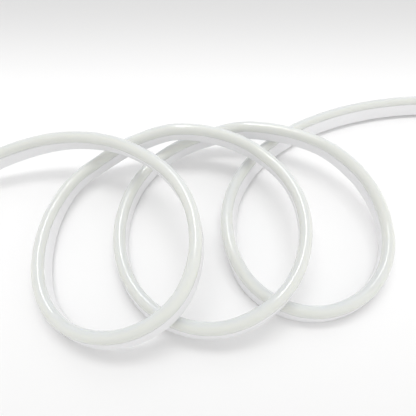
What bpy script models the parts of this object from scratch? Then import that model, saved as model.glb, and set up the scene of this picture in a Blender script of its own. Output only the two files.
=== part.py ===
"""Led strip light: a side-bending light strip that lies in three overlapping loops.

An opaque silicone channel carries a milky diffuser dome along its top, and a flexible
circuit stands on edge in the slot between them. All three follow one route over the
floor. Lengths are in metres, +Z is up and the floor is z = 0.
"""
import math

import bmesh
import bpy
import numpy as np
from mathutils import Matrix, Vector

MM = 0.001

# The strip
LENGTH = 2000.0 * MM
WIDTH = 10.0 * MM
HEIGHT = 18.0 * MM
DOME_HEIGHT = 6.5 * MM
GROOVE_DEPTH = 0.5 * MM
LIP_HEIGHT = 1.2 * MM
CHANNEL_EDGE = 0.5 * MM
DOME_SIDES = 8

# The flexible circuit and its slot
TAPE_HEIGHT = 8.0 * MM
TAPE_THICKNESS = 1.2 * MM
CLEARANCE = 0.3 * MM

# How the strip lies: a level is one strip height and the air above it
STACK_GAP = 1.0 * MM
RING_SPACING = 12.5 * MM
ROUTE_SAMPLES = 6000

# Route of the seam between channel and dome, from the left end to the right end.
# Each row is x and y in loop radii, the level, and the lean in degrees towards the
# inside of the bend.
LOOP_RADIUS = 75.0 * MM
ROUTE = [
    # left end, flat on the floor and then coming up off it
    (-3.47, -0.11, 0.00, 0),
    (-3.22, 0.11, 0.00, 0),
    (-2.88, 0.33, 0.50, 2),
    (-2.49, 0.49, 1.05, 0),
    # loop 1: back, right, front, left
    (-1.55, 0.59, 1.75, 13),
    (-0.86, 0.35, 2.05, 19),
    (-0.41, -0.01, 2.05, 12),
    (-0.12, -0.80, 1.90, 5),
    (-0.33, -1.44, 1.50, 4),
    (-0.92, -1.68, 0.75, 0),
    (-1.56, -1.41, 0.10, -8),
    (-1.83, -0.80, 0.10, -14),
    (-1.44, 0.43, 0.30, 10),
    # loop 2: back, right, front, left
    (-0.93, 0.66, 1.10, 10),
    (-0.37, 0.75, 1.60, 18),
    (0.33, 0.64, 1.40, 11),
    (0.75, 0.33, 1.20, 17),
    (1.03, -0.56, 1.35, 6),
    (0.71, -1.31, 1.15, -2),
    (0.07, -1.58, 0.55, -5),
    (-0.63, -1.29, 0.15, 2),
    (-1.00, -0.41, 0.00, -4),
    (-0.66, 0.54, 0.20, 3),
    # loop 3: back, right, front, left
    (-0.09, 0.88, 0.50, 5),
    (0.53, 0.92, 1.05, 8),
    (1.32, 0.66, 1.15, 11),
    (1.74, 0.29, 0.95, 4),
    (1.99, -0.53, 0.35, 4),
    (1.72, -1.11, 0.15, -3),
    (1.08, -1.37, 0.00, -5),
    (0.51, -1.12, 0.05, 0),
    (0.22, -0.44, 0.25, -16),
    (0.53, 0.55, 0.00, -20),
    # right end, on the floor
    (1.45, 1.28, 0.00, -24),
    (2.89, 1.64, 0.00, -20),
    (3.59, 1.64, 0.00, -17),
]

# Colours of the materials
DIFFUSER_COLOR = (0.70, 0.73, 0.69, 1.0)
CHANNEL_COLOR = (0.84, 0.84, 0.85, 1.0)
TAPE_COLOR = (0.88, 0.88, 0.84, 1.0)

SEAM = HEIGHT - DOME_HEIGHT


def clear_scene():
    """Takes every object out of the scene."""
    for item in list(bpy.data.objects):
        bpy.data.objects.remove(item, do_unlink=True)


def make_material(name, color, roughness):
    """A plain Principled material."""
    material = bpy.data.materials.new(name)
    material.use_nodes = True
    shader = material.node_tree.nodes["Principled BSDF"]
    shader.inputs["Base Color"].default_value = color
    shader.inputs["Roughness"].default_value = roughness
    material.diffuse_color = color
    return material


def curve_slopes(knots, values):
    """Slopes that give a curve through the values an even bend at every knot."""
    spans = np.diff(knots)
    rises = np.diff(values) / spans
    count = len(knots)
    matrix = np.zeros((count, count))
    right_side = np.zeros(count)
    matrix[0, :2] = 2, 1
    right_side[0] = 3 * rises[0]
    matrix[-1, -2:] = 1, 2
    right_side[-1] = 3 * rises[-1]
    for i in range(1, count - 1):
        before = 1 / spans[i - 1]
        after = 1 / spans[i]
        matrix[i, i - 1:i + 2] = before, 2 * (before + after), after
        right_side[i] = 3 * (rises[i - 1] * before + rises[i] * after)
    return np.linalg.solve(matrix, right_side)


def steady_slopes(knots, values):
    """Slopes that keep a curve between its neighbouring values, level at both ends."""
    rises = np.diff(values) / np.diff(knots)
    slopes = np.zeros(len(knots))
    for i in range(1, len(knots) - 1):
        if rises[i - 1] * rises[i] > 0:
            slopes[i] = 2 * rises[i - 1] * rises[i] / (rises[i - 1] + rises[i])
    return slopes


def read_curve(knots, values, slopes, places):
    """The cubic curve with these values and slopes, read at the places."""
    i = np.clip(np.searchsorted(knots, places) - 1, 0, len(knots) - 2)
    span = knots[i + 1] - knots[i]
    t = (places - knots[i]) / span
    start = (1 + 2 * t) * (1 - t) ** 2 * values[i]
    end = t ** 2 * (3 - 2 * t) * values[i + 1]
    bend = t * (1 - t) * span * ((1 - t) * slopes[i] - t * slopes[i + 1])
    return start + end + bend


def strip_line():
    """Seam points and leans along the route, closely spaced, past the strip's end."""
    x, y, level, lean = np.array(ROUTE, dtype=float).T
    x, y, lean = x * LOOP_RADIUS, y * LOOP_RADIUS, np.radians(lean)
    knots = np.concatenate(([0], np.cumsum(np.hypot(np.diff(x), np.diff(y)))))
    places = np.linspace(0, knots[-1], ROUTE_SAMPLES)
    lean = read_curve(knots, lean, steady_slopes(knots, lean), places)
    level = read_curve(knots, level, steady_slopes(knots, level), places)
    lowest_corner = SEAM * np.cos(lean) + WIDTH / 2 * np.abs(np.sin(lean))
    points = np.column_stack((
        read_curve(knots, x, curve_slopes(knots, x), places),
        read_curve(knots, y, curve_slopes(knots, y), places),
        level * (HEIGHT + STACK_GAP) + lowest_corner,
    ))
    heading = points[-1] - points[-2]
    beyond = points[-1] + heading / np.linalg.norm(heading) * LENGTH
    return np.vstack((points, beyond)), np.append(lean, lean[-1])


def strip_frames():
    """One frame for each ring: its place, with X to the left, Y up and Z along the strip."""
    points, leans = strip_line()
    lengths = np.linalg.norm(np.diff(points, axis=0), axis=1)
    run = np.concatenate(([0], np.cumsum(lengths)))
    steps = math.ceil(LENGTH / RING_SPACING)
    reach = LENGTH / steps / 4
    frames = []
    for at in np.linspace(0, LENGTH, steps + 1):
        ahead, here, behind = (
            Vector(np.interp(place, run, axis) for axis in points.T)
            for place in (at + reach, at, max(at - reach, 0))
        )
        along = (ahead - behind).normalized()
        left = Vector((0, 0, 1)).cross(along).normalized()
        roll = Matrix.Rotation(np.interp(at, run, leans), 3, along)
        left = roll @ left
        up = along.cross(left)
        frames.append((here, left, up))
    return frames


def mirrored(half):
    """A closed outline from its right half, given upwards along the right side."""
    return half + [(-across, height) for across, height in reversed(half) if across > 0]


def channel_outline():
    """Section of the channel: a deep slot between two walls, with broken edges."""
    side = WIDTH / 2
    slot = TAPE_THICKNESS / 2 + CLEARANCE
    floor = SEAM - TAPE_HEIGHT - CLEARANCE
    return mirrored([
        (side - CHANNEL_EDGE, 0),
        (side, CHANNEL_EDGE),
        (side, SEAM - CHANNEL_EDGE),
        (side - CHANNEL_EDGE, SEAM),
        (slot, SEAM),
        (slot, floor),
    ])


def dome_outline():
    """Section of the diffuser: a half round over a lip that tucks in."""
    side = WIDTH / 2
    underside = SEAM + CLEARANCE
    shoulder = underside + LIP_HEIGHT
    half = [(side - GROOVE_DEPTH, underside)]
    for i in range(DOME_SIDES // 2):
        angle = math.pi * i / DOME_SIDES
        rise = (HEIGHT - shoulder) * math.sin(angle)
        half.append((side * math.cos(angle), shoulder + rise))
    half.append((0, HEIGHT))
    return mirrored(half)


def tape_outline():
    """Section of the flexible circuit, which stands on edge."""
    side = TAPE_THICKNESS / 2
    return mirrored([(side, SEAM - TAPE_HEIGHT), (side, SEAM)])


def sweep(name, outline, frames, material):
    """One closed body with the outline at every frame and flat cut ends."""
    shape = bmesh.new()
    rings = []
    for here, left, up in frames:
        ring = [shape.verts.new(here + left * -across + up * (height - SEAM))
                for across, height in outline]
        rings.append(ring)
    for ring, following in zip(rings, rings[1:]):
        for i in range(len(ring)):
            shape.faces.new((ring[i - 1], ring[i], following[i], following[i - 1]))
    shape.faces.new(rings[0])
    shape.faces.new(rings[-1])
    bmesh.ops.recalc_face_normals(shape, faces=shape.faces)
    mesh = bpy.data.meshes.new(name)
    shape.to_mesh(mesh)
    shape.free()
    mesh.materials.append(material)
    body = bpy.data.objects.new(name, mesh)
    bpy.context.collection.objects.link(body)
    return body


def centre_on_floor(bodies):
    """Moves the strip so that the middle of its box is over the origin."""
    corners = np.array([vertex.co for body in bodies for vertex in body.data.vertices])
    middle = (corners.min(axis=0) + corners.max(axis=0)) / 2
    for body in bodies:
        body.data.transform(Matrix.Translation((-middle[0], -middle[1], 0)))


def main():
    clear_scene()
    frames = strip_frames()
    channel = sweep("base_channel", channel_outline(), frames,
                    make_material("opaque_silicone", CHANNEL_COLOR, 0.45))
    dome = sweep("diffuser", dome_outline(), frames,
                 make_material("milky_silicone", DIFFUSER_COLOR, 0.25))
    tape = sweep("led_tape", tape_outline(), frames,
                 make_material("circuit_film", TAPE_COLOR, 0.5))
    centre_on_floor([channel, dome, tape])


main()
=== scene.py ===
"""Led strip light: the dressed strip, its floor, its light and its camera."""
import math

import bpy
import numpy as np
from bpy.props import FloatProperty, FloatVectorProperty, IntProperty, PointerProperty
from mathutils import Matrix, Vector


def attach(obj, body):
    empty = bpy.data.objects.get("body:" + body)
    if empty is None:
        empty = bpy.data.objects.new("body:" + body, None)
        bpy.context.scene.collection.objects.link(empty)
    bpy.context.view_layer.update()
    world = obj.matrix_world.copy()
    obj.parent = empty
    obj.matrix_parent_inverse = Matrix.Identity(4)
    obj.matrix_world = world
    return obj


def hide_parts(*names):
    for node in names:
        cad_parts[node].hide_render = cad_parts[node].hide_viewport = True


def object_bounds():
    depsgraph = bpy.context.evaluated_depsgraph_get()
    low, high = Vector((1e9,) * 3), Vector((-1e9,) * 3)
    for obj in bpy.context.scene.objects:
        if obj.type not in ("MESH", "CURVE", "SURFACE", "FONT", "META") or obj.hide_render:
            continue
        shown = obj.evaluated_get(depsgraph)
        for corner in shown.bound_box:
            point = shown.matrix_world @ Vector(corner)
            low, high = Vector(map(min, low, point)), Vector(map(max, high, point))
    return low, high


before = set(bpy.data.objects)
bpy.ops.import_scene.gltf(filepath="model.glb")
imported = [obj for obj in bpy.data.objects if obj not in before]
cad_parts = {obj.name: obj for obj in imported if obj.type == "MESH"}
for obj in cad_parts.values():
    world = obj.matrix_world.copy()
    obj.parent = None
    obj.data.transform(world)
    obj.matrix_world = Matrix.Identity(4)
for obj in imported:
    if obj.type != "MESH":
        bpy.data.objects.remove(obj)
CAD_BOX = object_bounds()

bl_info = {
    "name": "Led Strip Light",
    "version": (1, 0, 0),
    "blender": (4, 5, 0),
    "location": "3D View > Sidebar > Led Strip",
    "description": "Builds a side-bending light strip lying in three loops, with its studio",
    "category": "Object",
}

MM = 0.001
BODY = "root"

# Points on the seam's curve, points in a quarter round, and steps round the dome's lip
ROUTE_SAMPLES = 6000
ROUND_POINTS = 5
LIP_STEPS = 5

# Edges that turn by more than this are shown sharp
SHARP_ANGLE = math.radians(40)

# The part of a noise's range that it mostly stays in
NOISE_MIDDLE = (0.3, 0.7)

# Width in millimetres of the picture that the lens is given for
SENSOR_WIDTH = 36

# Corners of a small lamp's faces; the last face is its window
LAMP_FACES = [
    (0, 1, 3, 2),
    (4, 6, 7, 5),
    (0, 4, 5, 1),
    (2, 3, 7, 6),
    (0, 2, 6, 4),
    (1, 5, 7, 3),
]

# Distance behind the origin in metres, and the floor's painted shade there: the light's falloff
# towards the front and the back, painted as a darker tone
FLOOR_PAINTED_FALLOFF = [
    (-0.22, 0.89),
    (-0.12, 0.97),
    (-0.05, 1.0),
    (0.15, 1.0),
    (0.20, 0.93),
    (0.27, 0.78),
    (0.34, 0.70),
]

# Route of the seam between channel and dome, from the left end to the right end.
# Each row is x and y in loop radii, the level, and the lean in degrees towards the
# inside of the bend. A level is one strip height and the air above it.
ROUTE = [
    # left end, flat on the floor and then coming up off it
    (-3.47, -0.11, 0.00, 0),
    (-3.22, 0.11, 0.00, 0),
    (-2.88, 0.33, 0.50, 2),
    (-2.49, 0.49, 1.05, 0),
    # loop 1: back, right, front, left
    (-1.55, 0.59, 1.75, 13),
    (-0.86, 0.35, 2.05, 19),
    (-0.41, -0.01, 2.05, 12),
    (-0.12, -0.80, 1.90, 5),
    (-0.33, -1.44, 1.50, 4),
    (-0.92, -1.68, 0.75, 0),
    (-1.56, -1.41, 0.10, -8),
    (-1.83, -0.80, 0.10, -14),
    (-1.44, 0.43, 0.30, 10),
    # loop 2: back, right, front, left
    (-0.93, 0.66, 1.10, 10),
    (-0.37, 0.75, 1.60, 18),
    (0.33, 0.64, 1.40, 11),
    (0.75, 0.33, 1.20, 17),
    (1.03, -0.56, 1.35, 6),
    (0.71, -1.31, 1.15, -2),
    (0.07, -1.58, 0.55, -5),
    (-0.63, -1.29, 0.15, 2),
    (-1.00, -0.41, 0.00, -4),
    (-0.66, 0.54, 0.20, 3),
    # loop 3: back, right, front, left
    (-0.09, 0.88, 0.50, 5),
    (0.53, 0.92, 1.05, 8),
    (1.32, 0.66, 1.15, 11),
    (1.74, 0.29, 0.95, 4),
    (1.99, -0.53, 0.35, 4),
    (1.72, -1.11, 0.15, -3),
    (1.08, -1.37, 0.00, -5),
    (0.51, -1.12, 0.05, 0),
    (0.22, -0.44, 0.25, -16),
    (0.53, 0.55, 0.00, -20),
    # right end, on the floor
    (1.45, 1.28, 0.00, -24),
    (2.89, 1.64, 0.00, -20),
    (3.59, 1.64, 0.00, -17),
]


class LedStripSizes(bpy.types.PropertyGroup):
    """Sizes of the strip's section and of how it lies."""

    length: FloatProperty(
        name="Length", description="Length of the strip along its route",
        default=2.0, unit="LENGTH")
    width: FloatProperty(
        name="Width", description="Width of the section across its flat sides",
        default=10.0 * MM, unit="LENGTH")
    height: FloatProperty(
        name="Height", description="Height of the section from its underside to the dome's top",
        default=18.0 * MM, unit="LENGTH")
    dome_height: FloatProperty(
        name="Dome height", description="How far the diffuser rises over the channel",
        default=6.5 * MM, unit="LENGTH")
    dome_fullness: FloatProperty(
        name="Dome fullness", description="2 is an ellipse; more gives the dome square shoulders",
        default=2.08, min=1.5, max=4.0)
    groove_depth: FloatProperty(
        name="Groove depth", description="How far the diffuser tucks in over the channel",
        default=0.6 * MM, unit="LENGTH")
    lip_height: FloatProperty(
        name="Lip height", description="Height of the diffuser's tucked-in lip",
        default=1.5 * MM, unit="LENGTH")
    rim_radius: FloatProperty(
        name="Rim radius", description="Round of the channel's upper and lower edges",
        default=0.45 * MM, unit="LENGTH")
    slot_width: FloatProperty(
        name="Slot width", description="Width of the slot that holds the circuit",
        default=1.8 * MM, unit="LENGTH")
    tape_height: FloatProperty(
        name="Tape height", description="Width of the circuit film, which stands on edge",
        default=8.0 * MM, unit="LENGTH")
    clearance: FloatProperty(
        name="Clearance", description="Air between the circuit film and the slot's floor",
        default=0.3 * MM, unit="LENGTH")
    film_thickness: FloatProperty(
        name="Film thickness", description="Thickness of the circuit film",
        default=0.3 * MM, unit="LENGTH")
    film_drop: FloatProperty(
        name="Film drop", description="How far the film's upper edge lies under the seam",
        default=0.05 * MM, unit="LENGTH")
    lamp_pitch: FloatProperty(
        name="Lamp pitch", description="Distance between the small lamps on the circuit",
        default=8.3 * MM, unit="LENGTH")
    lamp_length: FloatProperty(
        name="Lamp length", description="Length of a small lamp along the strip",
        default=3.0 * MM, unit="LENGTH")
    lamp_height: FloatProperty(
        name="Lamp height", description="Height of a small lamp",
        default=1.1 * MM, unit="LENGTH")
    lamp_depth: FloatProperty(
        name="Lamp depth", description="How far a small lamp stands out from the film",
        default=0.4 * MM, unit="LENGTH")
    lamp_drop: FloatProperty(
        name="Lamp drop", description="How far a small lamp's window lies under the seam",
        default=0.1 * MM, unit="LENGTH")
    loop_radius: FloatProperty(
        name="Loop radius", description="Length that one unit of the route stands for",
        default=75.0 * MM, unit="LENGTH")
    stack_gap: FloatProperty(
        name="Stack gap", description="Air between two passes where they cross",
        default=1.0 * MM, unit="LENGTH")
    solid_spacing: FloatProperty(
        name="Solid spacing", description="Spacing of the rings of the packed solids",
        default=12.5 * MM, unit="LENGTH")
    fine_spacing: FloatProperty(
        name="Fine spacing", description="Spacing of the rings of the dressed strip",
        default=2.5 * MM, unit="LENGTH")
    dome_sides: IntProperty(
        name="Dome sides", description="Facets round the dome's section", default=28)


class LedStripFinish(bpy.types.PropertyGroup):
    """Colours and gloss of the strip and the floor."""

    # Painted light: the dome takes the first colour where its skin turns away from the bright sky
    # behind. That is the silicone's own tone with painted warm shade. It takes the second colour,
    # painted bluish skylight, where its skin faces that sky
    diffuser_shade_side_color: FloatVectorProperty(
        name="Diffuser colour", description="Milky silicone of the dome, where its light leaves it",
        subtype="COLOR", size=4, default=(0.752, 0.764, 0.732, 1.0))
    painted_sky_color: FloatVectorProperty(
        name="Diffuser sky colour", description="Milky silicone of the dome, where light enters it",
        subtype="COLOR", size=4, default=(0.705, 0.724, 0.72, 1.0))
    # Direction of the sky whose light is painted into the dome's colour
    painted_sky_side: FloatVectorProperty(
        name="Diffuser sky side", description="Direction from which light enters the dome",
        subtype="DIRECTION", size=3, default=(0.0, 0.8, 0.6))
    # Where the painted skylight starts and stops blending into the painted warm shade
    painted_sky_blend: FloatVectorProperty(
        name="Diffuser blend", description="How squarely the skin faces that side where the "
        "two colours start and stop to blend", size=2, default=(0.3, 0.8))
    diffuser_roughness: FloatProperty(
        name="Diffuser roughness", description="Roughness of the dome's skin", default=0.18)
    channel_color: FloatVectorProperty(
        name="Channel colour", description="Opaque silicone of the channel",
        subtype="COLOR", size=4, default=(0.86, 0.86, 0.87, 1.0))
    channel_roughness: FloatProperty(
        name="Channel roughness", description="Roughness of the channel's skin", default=0.42)
    film_color: FloatVectorProperty(
        name="Film colour", description="Solder mask of the circuit film",
        subtype="COLOR", size=4, default=(0.88, 0.88, 0.84, 1.0))
    phosphor_color: FloatVectorProperty(
        name="Phosphor colour", description="Windows of the small lamps",
        subtype="COLOR", size=4, default=(0.85, 0.62, 0.12, 1.0))
    floor_color: FloatVectorProperty(
        name="Floor colour", description="Plain pale floor under the strip",
        subtype="COLOR", size=4, default=(0.94, 0.94, 0.94, 1.0))


class LedStripStudio(bpy.types.PropertyGroup):
    """Where the camera stands and how strong the light is."""

    camera_distance: FloatProperty(
        name="Camera distance", description="From the lens to the middle of the picture",
        default=0.3922, unit="LENGTH")
    camera_elevation: FloatProperty(
        name="Camera elevation", description="Angle of the view above the floor",
        subtype="ANGLE", default=math.radians(57.35))
    lens: FloatProperty(
        name="Lens", description="Focal length for a 36 mm wide picture", default=37.02)
    floor_reach: FloatProperty(
        name="Floor reach", description="How far the floor goes out on every side",
        default=2.0, unit="LENGTH")
    key_power: FloatProperty(
        name="Key power", description="Power of the light overhead", default=27.0)
    key_size: FloatVectorProperty(
        name="Key size", description="Width and depth of the light overhead",
        size=2, default=(2.6, 0.7), subtype="XYZ", unit="LENGTH")
    key_height: FloatProperty(
        name="Key height", description="Height of the light over the floor",
        default=3.0, unit="LENGTH")
    key_behind: FloatProperty(
        name="Key behind", description="How far the light hangs behind the strip",
        default=0.65, unit="LENGTH")
    gloss_power: FloatProperty(
        name="Gloss power", description="Power of the long light that shows in the gloss only",
        default=20.0)
    gloss_size: FloatVectorProperty(
        name="Gloss size", description="Width and length of the long light",
        size=2, default=(0.3, 1.2), subtype="XYZ", unit="LENGTH")
    gloss_place: FloatVectorProperty(
        name="Gloss place", description="Where the long light hangs, from the middle of the picture",
        size=3, default=(-0.1, 1.0, 2.0), subtype="XYZ", unit="LENGTH")
    sky_strength: FloatProperty(
        name="Sky strength", description="Strength of the light from all round", default=1.0)
    sky_color: FloatVectorProperty(
        name="Sky colour", description="Light from all round, before the rest is added",
        subtype="COLOR", size=3, default=(0.845, 0.84, 0.836))
    sky_right: FloatProperty(
        name="Sky right", description="Light that the right gains and the left loses", default=0.12)
    sky_sides: FloatProperty(
        name="Sky sides", description="Light that both sides gain", default=0.25)
    sky_top: FloatProperty(
        name="Sky top", description="Light that the top gains", default=-0.16)
    patch_color: FloatVectorProperty(
        name="Patch colour", description="Light that the bright patch of the sky gains",
        subtype="COLOR", size=3, default=(1.05, 1.1, 1.15))
    patch_side: FloatVectorProperty(
        name="Patch side", description="Direction of the bright patch",
        subtype="DIRECTION", size=3, default=(0.1, 0.54, 0.84))
    patch_focus: FloatProperty(
        name="Patch focus", description="How narrow the bright patch is", default=30.0)


def curve_slopes(knots, values):
    """Slopes that give a curve through the values an even bend at every knot."""
    spans = np.diff(knots)
    rises = np.diff(values) / spans
    count = len(knots)
    matrix = np.zeros((count, count))
    right_side = np.zeros(count)
    matrix[0, :2] = 2, 1
    right_side[0] = 3 * rises[0]
    matrix[-1, -2:] = 1, 2
    right_side[-1] = 3 * rises[-1]
    for i in range(1, count - 1):
        before = 1 / spans[i - 1]
        after = 1 / spans[i]
        matrix[i, i - 1:i + 2] = before, 2 * (before + after), after
        right_side[i] = 3 * (rises[i - 1] * before + rises[i] * after)
    return np.linalg.solve(matrix, right_side)


def steady_slopes(knots, values):
    """Slopes that keep a curve between its neighbouring values, level at both ends."""
    rises = np.diff(values) / np.diff(knots)
    slopes = np.zeros(len(knots))
    for i in range(1, len(knots) - 1):
        if rises[i - 1] * rises[i] > 0:
            slopes[i] = 2 * rises[i - 1] * rises[i] / (rises[i - 1] + rises[i])
    return slopes


def read_curve(knots, values, slopes, places):
    """The cubic curve with these values and slopes, read at the places."""
    i = np.clip(np.searchsorted(knots, places) - 1, 0, len(knots) - 2)
    span = knots[i + 1] - knots[i]
    t = (places - knots[i]) / span
    start = (1 + 2 * t) * (1 - t) ** 2 * values[i]
    end = t ** 2 * (3 - 2 * t) * values[i + 1]
    bend = t * (1 - t) * span * ((1 - t) * slopes[i] - t * slopes[i + 1])
    return start + end + bend


def seam_height(sizes):
    """Height of the seam between channel and dome over the underside."""
    return sizes.height - sizes.dome_height


def strip_line(sizes):
    """Seam points and leans along the route, closely spaced."""
    x, y, level, lean = np.array(ROUTE, dtype=float).T
    x, y, lean = x * sizes.loop_radius, y * sizes.loop_radius, np.radians(lean)
    knots = np.concatenate(([0], np.cumsum(np.hypot(np.diff(x), np.diff(y)))))
    places = np.linspace(0, knots[-1], ROUTE_SAMPLES)
    lean = read_curve(knots, lean, steady_slopes(knots, lean), places)
    level = read_curve(knots, level, steady_slopes(knots, level), places)
    lowest_corner = seam_height(sizes) * np.cos(lean) + sizes.width / 2 * np.abs(np.sin(lean))
    points = np.column_stack((
        read_curve(knots, x, curve_slopes(knots, x), places),
        read_curve(knots, y, curve_slopes(knots, y), places),
        level * (sizes.height + sizes.stack_gap) + lowest_corner,
    ))
    return points, lean


def strip_frames(sizes, spacing):
    """Places, left and up directions of the rings, and how far along the strip each is."""
    points, leans = strip_line(sizes)
    lengths = np.linalg.norm(np.diff(points, axis=0), axis=1)
    run = np.concatenate(([0], np.cumsum(lengths)))
    steps = math.ceil(sizes.length / spacing)
    at = np.linspace(0, sizes.length, steps + 1)
    # A ring faces along the line from just behind it to just ahead of it, and this
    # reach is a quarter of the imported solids' spacing, so both turn alike
    reach = sizes.length / math.ceil(sizes.length / sizes.solid_spacing) / 4

    def read(places):
        return np.column_stack([np.interp(places, run, axis) for axis in points.T])

    along = read(at + reach) - read(np.maximum(at - reach, 0))
    along /= np.linalg.norm(along, axis=1)[:, None]
    level_left = np.cross((0, 0, 1), along)
    level_left /= np.linalg.norm(level_left, axis=1)[:, None]
    level_up = np.cross(along, level_left)
    lean = np.interp(at, run, leans)[:, None]
    left = level_left * np.cos(lean) + level_up * np.sin(lean)
    up = np.cross(along, left)
    return read(at), left, up, at


def lay_outline(outline, rings, seam):
    """Points of the outline at every ring, one row of points for each ring."""
    here, left, up, _ = rings
    across, height = np.array(outline).T
    return (here[:, None] - left[:, None] * across[None, :, None]
            + up[:, None] * (height - seam)[None, :, None])


def box_outline(sizes):
    """The section's outer corners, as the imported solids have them."""
    seam = seam_height(sizes)
    side = sizes.width / 2
    return [(side, 0), (side, seam), (0, sizes.height), (-side, seam), (-side, 0)]


def floor_shift(sizes):
    """From the route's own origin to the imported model's."""
    rings = strip_frames(sizes, sizes.solid_spacing)
    corners = lay_outline(box_outline(sizes), rings, seam_height(sizes))
    low, high = corners.min(axis=(0, 1)), corners.max(axis=(0, 1))
    middle = (Vector(CAD_BOX[0]) + Vector(CAD_BOX[1])) / 2
    return np.array((middle.x - (low[0] + high[0]) / 2, middle.y - (low[1] + high[1]) / 2, 0))


def mirrored(half):
    """A closed outline from its right half, given upwards along the right side."""
    return half + [(-across, height) for across, height in reversed(half) if across > 0]


def corner(across, height, radius, start):
    """A quarter round about the point, from the start angle on, in degrees."""
    angles = [math.radians(start + 90 * i / (ROUND_POINTS - 1)) for i in range(ROUND_POINTS)]
    return [(across + radius * math.cos(a), height + radius * math.sin(a)) for a in angles]


def channel_outline(sizes):
    """Section of the channel: a deep slot between two walls with rounded edges."""
    seam = seam_height(sizes)
    side = sizes.width / 2
    rim = sizes.rim_radius
    slot = sizes.slot_width / 2
    slot_floor = seam - sizes.tape_height - sizes.clearance
    lower = corner(side - rim, rim, rim, -90)
    upper = corner(side - rim, seam - rim, rim, 0)
    return mirrored(lower + upper + [(slot, seam), (slot, slot_floor)])


def dome_outline(sizes):
    """Section of the diffuser: a round dome over a lip that curls in."""
    side = sizes.width / 2
    shoulder = seam_height(sizes) + sizes.lip_height
    half = []
    for i in range(LIP_STEPS):
        angle = math.pi / 2 * i / LIP_STEPS
        half.append((side - sizes.groove_depth * (1 - math.sin(angle)),
                     shoulder - sizes.lip_height * math.cos(angle)))
    power = 2 / sizes.dome_fullness
    steps = sizes.dome_sides // 2
    for i in range(steps):
        angle = math.pi / 2 * i / steps
        half.append((side * math.cos(angle) ** power,
                     shoulder + (sizes.height - shoulder) * math.sin(angle) ** power))
    half.append((0, sizes.height))
    return mirrored(half)


def film_outline(sizes):
    """Section of the circuit film, which stands on edge."""
    seam = seam_height(sizes)
    side = sizes.film_thickness / 2
    return mirrored([(side, seam - sizes.tape_height), (side, seam - sizes.film_drop)])


def sweep(name, outline, sizes):
    """One closed body along the strip, mapped in metres along and round it."""
    rings = strip_frames(sizes, sizes.fine_spacing)
    grid = lay_outline(outline, rings, seam_height(sizes)) + floor_shift(sizes)
    ring_count, side_count = grid.shape[:2]
    index = np.arange(ring_count * side_count).reshape(ring_count, side_count)
    a = index[:-1]
    b = index[1:]
    quads = np.stack((a, np.roll(a, -1, 1), np.roll(b, -1, 1), b), -1).reshape(-1, 4)
    faces = [tuple(quad) for quad in quads.tolist()]
    faces.append(tuple(index[0][::-1].tolist()))
    faces.append(tuple(index[-1].tolist()))
    mesh = bpy.data.meshes.new(name)
    mesh.from_pydata(grid.reshape(-1, 3).tolist(), [], faces)
    outline = np.array(outline)
    closed = np.vstack((outline, outline[:1]))
    side_lengths = np.linalg.norm(np.diff(closed, axis=0), axis=1)
    round_run = np.concatenate(([0], np.cumsum(side_lengths)))
    run = rings[3]
    u0, u1 = run[:-1, None], run[1:, None]
    v0, v1 = round_run[None, :-1], round_run[None, 1:]
    zero = np.zeros((ring_count - 1, side_count))
    corners = ((u0, v0), (u0, v1), (u1, v1), (u1, v0))
    sides = np.stack([np.stack((u + zero, v + zero), -1) for u, v in corners], 2)
    ends = np.vstack((outline[::-1], outline))
    uv = np.vstack((sides.reshape(-1, 2), ends))
    layer = mesh.uv_layers.new(name="strip")
    layer.data.foreach_set("uv", uv.astype(np.float32).ravel())
    mesh.validate()
    mesh.shade_smooth()
    mesh.set_sharp_from_angle(angle=SHARP_ANGLE)
    piece = bpy.data.objects.new(name, mesh)
    bpy.context.scene.collection.objects.link(piece)
    return piece


def small_lamps(sizes):
    """Small lamps along the film's upper edge, and which of their faces are windows."""
    seam = seam_height(sizes)
    shift = floor_shift(sizes)
    count = int(sizes.length / sizes.lamp_pitch)
    here, left, up, _ = strip_frames(sizes, sizes.length / count / 2)
    inner = sizes.film_thickness / 2
    outer = inner + sizes.lamp_depth
    high = seam - sizes.lamp_drop
    low = high - sizes.lamp_height
    points, faces, windows = [], [], []
    for i in range(1, 2 * count, 2):
        along = np.cross(left[i], up[i])
        first = len(points)
        for step in (-sizes.lamp_length / 2, sizes.lamp_length / 2):
            for across in (inner, outer):
                for height in (low, high):
                    points.append(here[i] + shift + along * step - left[i] * across
                                  + up[i] * (height - seam))
        faces += [tuple(first + number for number in face) for face in LAMP_FACES]
        windows += [0] * (len(LAMP_FACES) - 1) + [1]
    mesh = bpy.data.meshes.new("small_lamps")
    mesh.from_pydata([tuple(point) for point in points], [], faces)
    mesh.uv_layers.new(name="strip")
    lamps = bpy.data.objects.new("small_lamps", mesh)
    bpy.context.scene.collection.objects.link(lamps)
    return lamps, windows


def add_node(tree, kind, operation, *inputs):
    """A node for one sum; each input is a socket to link or a plain value."""
    node = tree.nodes.new(kind)
    node.operation = operation
    for socket, value in zip(node.inputs, inputs):
        if isinstance(value, bpy.types.NodeSocket):
            tree.links.new(value, socket)
        else:
            socket.default_value = value
    return node


def shader_of(material):
    """The node tree of a new material and its Principled shader."""
    material.use_nodes = True
    tree = material.node_tree
    return tree, tree.nodes["Principled BSDF"]


def strip_noise(tree, along, across, detail):
    """Noise drawn out along the strip; along and across are its grains per metre."""
    place = tree.nodes.new("ShaderNodeUVMap")
    place.uv_map = "strip"
    stretch = tree.nodes.new("ShaderNodeMapping")
    stretch.inputs["Scale"].default_value = (along, across, 1)
    noise = tree.nodes.new("ShaderNodeTexNoise")
    noise.inputs["Scale"].default_value = 1.0
    noise.inputs["Detail"].default_value = detail
    tree.links.new(place.outputs["UV"], stretch.inputs["Vector"])
    tree.links.new(stretch.outputs["Vector"], noise.inputs["Vector"])
    return noise.outputs["Fac"]


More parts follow.
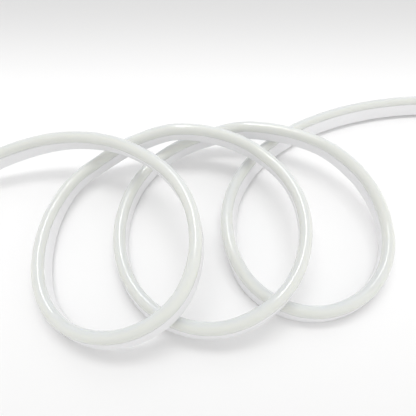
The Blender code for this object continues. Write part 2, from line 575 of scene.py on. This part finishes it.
def spread(tree, factor, low, high):
    """The middle of the factor's range mapped from low to high."""
    mapped = tree.nodes.new("ShaderNodeMapRange")
    mapped.inputs["From Min"].default_value = NOISE_MIDDLE[0]
    mapped.inputs["From Max"].default_value = NOISE_MIDDLE[1]
    mapped.inputs["To Min"].default_value = low
    mapped.inputs["To Max"].default_value = high
    tree.links.new(factor, mapped.inputs["Value"])
    return mapped.outputs["Result"]


def tinted(tree, factor, color, depth):
    """The colour, varied by the factor to a little darker and a little lighter."""
    mix = tree.nodes.new("ShaderNodeMix")
    mix.data_type = "RGBA"
    mix.inputs["A"].default_value = (*(c * (1 - depth) for c in color[:3]), 1)
    mix.inputs["B"].default_value = (*(min(c * (1 + depth), 1) for c in color[:3]), 1)
    tree.links.new(factor, mix.inputs["Factor"])
    return mix.outputs["Result"]


def bumped(tree, heights):
    """A chain of bumps; each is a factor, a strength and a depth in metres."""
    normal = None
    for factor, strength, depth in heights:
        bump = tree.nodes.new("ShaderNodeBump")
        bump.inputs["Strength"].default_value = strength
        bump.inputs["Distance"].default_value = depth
        tree.links.new(factor, bump.inputs["Height"])
        if normal:
            tree.links.new(normal, bump.inputs["Normal"])
        normal = bump.outputs["Normal"]
    return normal


def painted_sky_tint(tree, finish, cloud):
    """Painted skylight on the dome: warm grey with painted shade, turning to painted bluish light
    where the skin faces the bright sky behind.
    """
    normal = tree.nodes.new("ShaderNodeNewGeometry").outputs["Normal"]
    facing = add_node(tree, "ShaderNodeVectorMath", "DOT_PRODUCT", normal,
                      finish.painted_sky_side)
    blend = tree.nodes.new("ShaderNodeMapRange")
    blend.interpolation_type = "SMOOTHSTEP"
    blend.inputs["From Min"].default_value = finish.painted_sky_blend[0]
    blend.inputs["From Max"].default_value = finish.painted_sky_blend[1]
    tree.links.new(facing.outputs["Value"], blend.inputs["Value"])
    skylit_mix = tree.nodes.new("ShaderNodeMix")
    skylit_mix.data_type = "RGBA"
    tree.links.new(blend.outputs["Result"], skylit_mix.inputs["Factor"])
    tree.links.new(tinted(tree, cloud, finish.diffuser_shade_side_color, 0.02), skylit_mix.inputs["A"])
    tree.links.new(tinted(tree, cloud, finish.painted_sky_color, 0.02), skylit_mix.inputs["B"])
    return skylit_mix.outputs["Result"]


def diffuser_material(finish):
    """Milky silicone: light sinks in a little, the skin is smooth and glossy, and its colour holds
    painted skylight and shade.
    """
    material = bpy.data.materials.new("milky_silicone")
    tree, shader = shader_of(material)
    cloud = strip_noise(tree, 18, 90, 3)
    streaks = strip_noise(tree, 14, 2600, 2)
    ripple = strip_noise(tree, 45, 120, 1)
    shader.inputs["Subsurface Weight"].default_value = 0.85
    shader.inputs["Subsurface Radius"].default_value = (1.0, 1.0, 0.9)
    shader.inputs["Subsurface Scale"].default_value = 3.0 * MM
    shader.inputs["IOR"].default_value = 1.41
    shader.inputs["Coat Weight"].default_value = 0.15
    shader.inputs["Coat Roughness"].default_value = 0.08
    # Base colour: painted bluish skylight where the skin faces the sky behind, painted warm shade on
    # the rest
    tree.links.new(painted_sky_tint(tree, finish, cloud), shader.inputs["Base Color"])
    rough = spread(tree, cloud, finish.diffuser_roughness * 0.8, finish.diffuser_roughness * 1.2)
    tree.links.new(rough, shader.inputs["Roughness"])
    normal = bumped(tree, [(streaks, 0.12, 0.03 * MM), (ripple, 0.25, 0.08 * MM)])
    tree.links.new(normal, shader.inputs["Normal"])
    return material


def channel_material(finish):
    """Opaque silicone: satin, with fine drawn lines along its walls."""
    material = bpy.data.materials.new("opaque_silicone")
    tree, shader = shader_of(material)
    cloud = strip_noise(tree, 25, 120, 4)
    lines = strip_noise(tree, 6, 1800, 3)
    grain = strip_noise(tree, 900, 900, 2)
    shader.inputs["IOR"].default_value = 1.43
    tree.links.new(tinted(tree, cloud, finish.channel_color, 0.03), shader.inputs["Base Color"])
    rough = spread(tree, cloud, finish.channel_roughness * 0.85, finish.channel_roughness * 1.15)
    tree.links.new(rough, shader.inputs["Roughness"])
    normal = bumped(tree, [(lines, 0.3, 0.05 * MM), (grain, 0.1, 0.03 * MM)])
    tree.links.new(normal, shader.inputs["Normal"])
    return material


def film_material(finish):
    """Matte solder mask over the circuit film's copper."""
    material = bpy.data.materials.new("circuit_film")
    tree, shader = shader_of(material)
    grain = strip_noise(tree, 700, 700, 3)
    tree.links.new(tinted(tree, grain, finish.film_color, 0.03), shader.inputs["Base Color"])
    tree.links.new(spread(tree, grain, 0.45, 0.6), shader.inputs["Roughness"])
    tree.links.new(bumped(tree, [(grain, 0.1, 0.02 * MM)]), shader.inputs["Normal"])
    return material


def phosphor_material(finish):
    """The small lamps' yellow windows."""
    material = bpy.data.materials.new("phosphor")
    tree, shader = shader_of(material)
    place = tree.nodes.new("ShaderNodeTexCoord")
    noise = tree.nodes.new("ShaderNodeTexNoise")
    noise.inputs["Scale"].default_value = 4000
    tree.links.new(place.outputs["Object"], noise.inputs["Vector"])
    color = tinted(tree, noise.outputs["Fac"], finish.phosphor_color, 0.08)
    tree.links.new(color, shader.inputs["Base Color"])
    tree.links.new(spread(tree, noise.outputs["Fac"], 0.25, 0.4), shader.inputs["Roughness"])
    return material


def floor_material(finish):
    """Plain pale paper, with the light's falloff painted in as shade: greyer towards the front and
    most of all towards the back.
    """
    material = bpy.data.materials.new("pale_floor")
    tree, shader = shader_of(material)
    place = tree.nodes.new("ShaderNodeTexCoord")
    split = tree.nodes.new("ShaderNodeSeparateXYZ")
    tree.links.new(place.outputs["Object"], split.inputs["Vector"])
    front, back = FLOOR_PAINTED_FALLOFF[0][0], FLOOR_PAINTED_FALLOFF[-1][0]
    reach = tree.nodes.new("ShaderNodeMapRange")
    reach.inputs["From Min"].default_value = front
    reach.inputs["From Max"].default_value = back
    tree.links.new(split.outputs["Y"], reach.inputs["Value"])
    # Painted shade: the floor's colour falls off towards the front and the back as the light would
    falloff_shade = tree.nodes.new("ShaderNodeValToRGB")
    falloff_shade.color_ramp.interpolation = "B_SPLINE"
    stops = falloff_shade.color_ramp.elements
    for y, _ in FLOOR_PAINTED_FALLOFF[1:-1]:
        stops.new((y - front) / (back - front))
    for stop, (_, tone) in zip(stops, FLOOR_PAINTED_FALLOFF):
        stop.color = (*(c * tone for c in finish.floor_color[:3]), 1)
    tree.links.new(reach.outputs["Result"], falloff_shade.inputs["Fac"])
    tree.links.new(falloff_shade.outputs["Color"], shader.inputs["Base Color"])
    shader.inputs["Roughness"].default_value = 0.9
    shader.inputs["Specular IOR Level"].default_value = 0.1
    return material


def finish_piece(piece, materials, node):
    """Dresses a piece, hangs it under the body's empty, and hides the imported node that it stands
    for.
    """
    for material in materials:
        piece.data.materials.append(material)
    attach(piece, BODY)
    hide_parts(node)


class LEDSTRIP_OT_channel(bpy.types.Operator):
    """Builds the opaque channel"""

    bl_idname = "led_strip.channel"
    bl_label = "Build Channel"

    def execute(self, context):
        sizes = context.scene.led_strip_sizes
        piece = sweep("channel_profile", channel_outline(sizes), sizes)
        finish_piece(piece, [channel_material(context.scene.led_strip_finish)],
                     "base_channel")
        return {"FINISHED"}


class LEDSTRIP_OT_diffuser(bpy.types.Operator):
    """Builds the milky diffuser dome"""

    bl_idname = "led_strip.diffuser"
    bl_label = "Build Diffuser"

    def execute(self, context):
        sizes = context.scene.led_strip_sizes
        piece = sweep("diffuser_dome", dome_outline(sizes), sizes)
        finish_piece(piece, [diffuser_material(context.scene.led_strip_finish)],
                     "diffuser")
        return {"FINISHED"}


class LEDSTRIP_OT_tape(bpy.types.Operator):
    """Builds the flexible circuit with its small lamps"""

    bl_idname = "led_strip.tape"
    bl_label = "Build Circuit"

    def execute(self, context):
        sizes = context.scene.led_strip_sizes
        finish = context.scene.led_strip_finish
        film = sweep("circuit_film", film_outline(sizes), sizes)
        cover = film_material(finish)
        finish_piece(film, [cover], "led_tape")
        lamps, windows = small_lamps(sizes)
        finish_piece(lamps, [cover, phosphor_material(finish)], "led_tape")
        lamps.data.polygons.foreach_set("material_index", windows)
        return {"FINISHED"}


def area_light(name, size, power, place):
    """A flat white light that shines straight down and can't be seen itself."""
    light = bpy.data.lights.new(name, "AREA")
    light.shape = "RECTANGLE"
    light.size, light.size_y = size
    light.energy = power
    lamp = bpy.data.objects.new(name, light)
    lamp.location = place
    lamp.visible_camera = False
    bpy.context.scene.collection.objects.link(lamp)
    return lamp


def make_sky(scene, studio):
    """Light from all round, with a broad bluish patch behind and above the strip."""
    world = bpy.data.worlds.new("studio")
    scene.world = world
    world.use_nodes = True
    tree = world.node_tree
    towards = tree.nodes.new("ShaderNodeTexCoord").outputs["Generated"]
    split = tree.nodes.new("ShaderNodeSeparateXYZ")
    tree.links.new(towards, split.inputs["Vector"])
    right = split.outputs["X"]
    sides = add_node(tree, "ShaderNodeMath", "MULTIPLY", right, right)
    closeness = add_node(tree, "ShaderNodeVectorMath", "DOT_PRODUCT", towards,
                         Vector(studio.patch_side).normalized())
    ahead = add_node(tree, "ShaderNodeMath", "MAXIMUM", closeness.outputs["Value"], 0)
    patch = add_node(tree, "ShaderNodeMath", "POWER", ahead.outputs["Value"], studio.patch_focus)
    light = studio.sky_color
    for amount, color in (
        (right, [studio.sky_right] * 3),
        (sides.outputs["Value"], [studio.sky_sides] * 3),
        (patch.outputs["Value"], studio.patch_color),
        (split.outputs["Z"], [studio.sky_top] * 3),
    ):
        step = add_node(tree, "ShaderNodeVectorMath", "MULTIPLY_ADD", amount, color, light)
        light = step.outputs["Vector"]
    background = tree.nodes["Background"]
    background.inputs["Strength"].default_value = studio.sky_strength
    tree.links.new(light, background.inputs["Color"])


def lay_floor(scene):
    """A flat paper floor, as far out on every side."""
    reach = scene.led_strip_studio.floor_reach
    points = [(-reach, -reach, 0), (reach, -reach, 0), (reach, reach, 0), (-reach, reach, 0)]
    mesh = bpy.data.meshes.new("floor")
    mesh.from_pydata(points, [], [(0, 1, 2, 3)])
    mesh.materials.append(floor_material(scene.led_strip_finish))
    floor = bpy.data.objects.new("floor", mesh)
    scene.collection.objects.link(floor)
    return floor


def make_camera(scene, studio, origin):
    """A camera in front of the strip, looking down at the route's origin."""
    elevation = studio.camera_elevation
    back = Vector((0, -math.cos(elevation), math.sin(elevation)))
    data = bpy.data.cameras.new("camera")
    data.sensor_width = SENSOR_WIDTH
    data.lens = studio.lens
    data.clip_start = 10 * MM
    camera = bpy.data.objects.new("camera", data)
    camera.location = origin + back * studio.camera_distance
    camera.rotation_euler = (-back).to_track_quat("-Z", "Y").to_euler()
    scene.collection.objects.link(camera)
    scene.camera = camera


class LEDSTRIP_OT_stage(bpy.types.Operator):
    """Lays the floor and sets the light and the camera"""

    bl_idname = "led_strip.stage"
    bl_label = "Set Stage"

    def execute(self, context):
        scene = context.scene
        studio = scene.led_strip_studio
        origin = Vector(floor_shift(scene.led_strip_sizes))
        lay_floor(scene)
        key = area_light("key_light", studio.key_size, studio.key_power,
                         origin + Vector((0.0, studio.key_behind, studio.key_height)))
        key.visible_glossy = False
        gloss = area_light("gloss_light", studio.gloss_size, studio.gloss_power,
                           origin + Vector(studio.gloss_place))
        gloss.visible_diffuse = False
        make_sky(scene, studio)
        make_camera(scene, studio, origin)
        scene.view_settings.view_transform = "Standard"
        return {"FINISHED"}


class LEDSTRIP_PT_panel(bpy.types.Panel):
    """Lists the builders and their settings"""

    bl_label = "Led Strip"
    bl_idname = "LEDSTRIP_PT_panel"
    bl_space_type = "VIEW_3D"
    bl_region_type = "UI"
    bl_category = "Led Strip"

    def draw(self, context):
        layout = self.layout
        for operator in OPERATORS:
            layout.operator(operator.bl_idname)
        for group in (context.scene.led_strip_sizes, context.scene.led_strip_finish,
                      context.scene.led_strip_studio):
            box = layout.box()
            for name in group.__annotations__:
                box.prop(group, name)


GROUPS = {
    "led_strip_sizes": LedStripSizes,
    "led_strip_finish": LedStripFinish,
    "led_strip_studio": LedStripStudio,
}
OPERATORS = (LEDSTRIP_OT_channel, LEDSTRIP_OT_diffuser, LEDSTRIP_OT_tape, LEDSTRIP_OT_stage)


def register():
    """Registers the settings, the builders and the panel."""
    for name, group in GROUPS.items():
        bpy.utils.register_class(group)
        setattr(bpy.types.Scene, name, PointerProperty(type=group))
    for operator in OPERATORS:
        bpy.utils.register_class(operator)
    bpy.utils.register_class(LEDSTRIP_PT_panel)


def unregister():
    """Takes back what register did, in the other order."""
    bpy.utils.unregister_class(LEDSTRIP_PT_panel)
    for operator in reversed(OPERATORS):
        bpy.utils.unregister_class(operator)
    for name, group in reversed(GROUPS.items()):
        delattr(bpy.types.Scene, name)
        bpy.utils.unregister_class(group)


def main():
    """Builds the strip and its studio."""
    register()
    bpy.ops.led_strip.channel()
    bpy.ops.led_strip.diffuser()
    bpy.ops.led_strip.tape()
    bpy.ops.led_strip.stage()


if __name__ == "__main__":
    main()
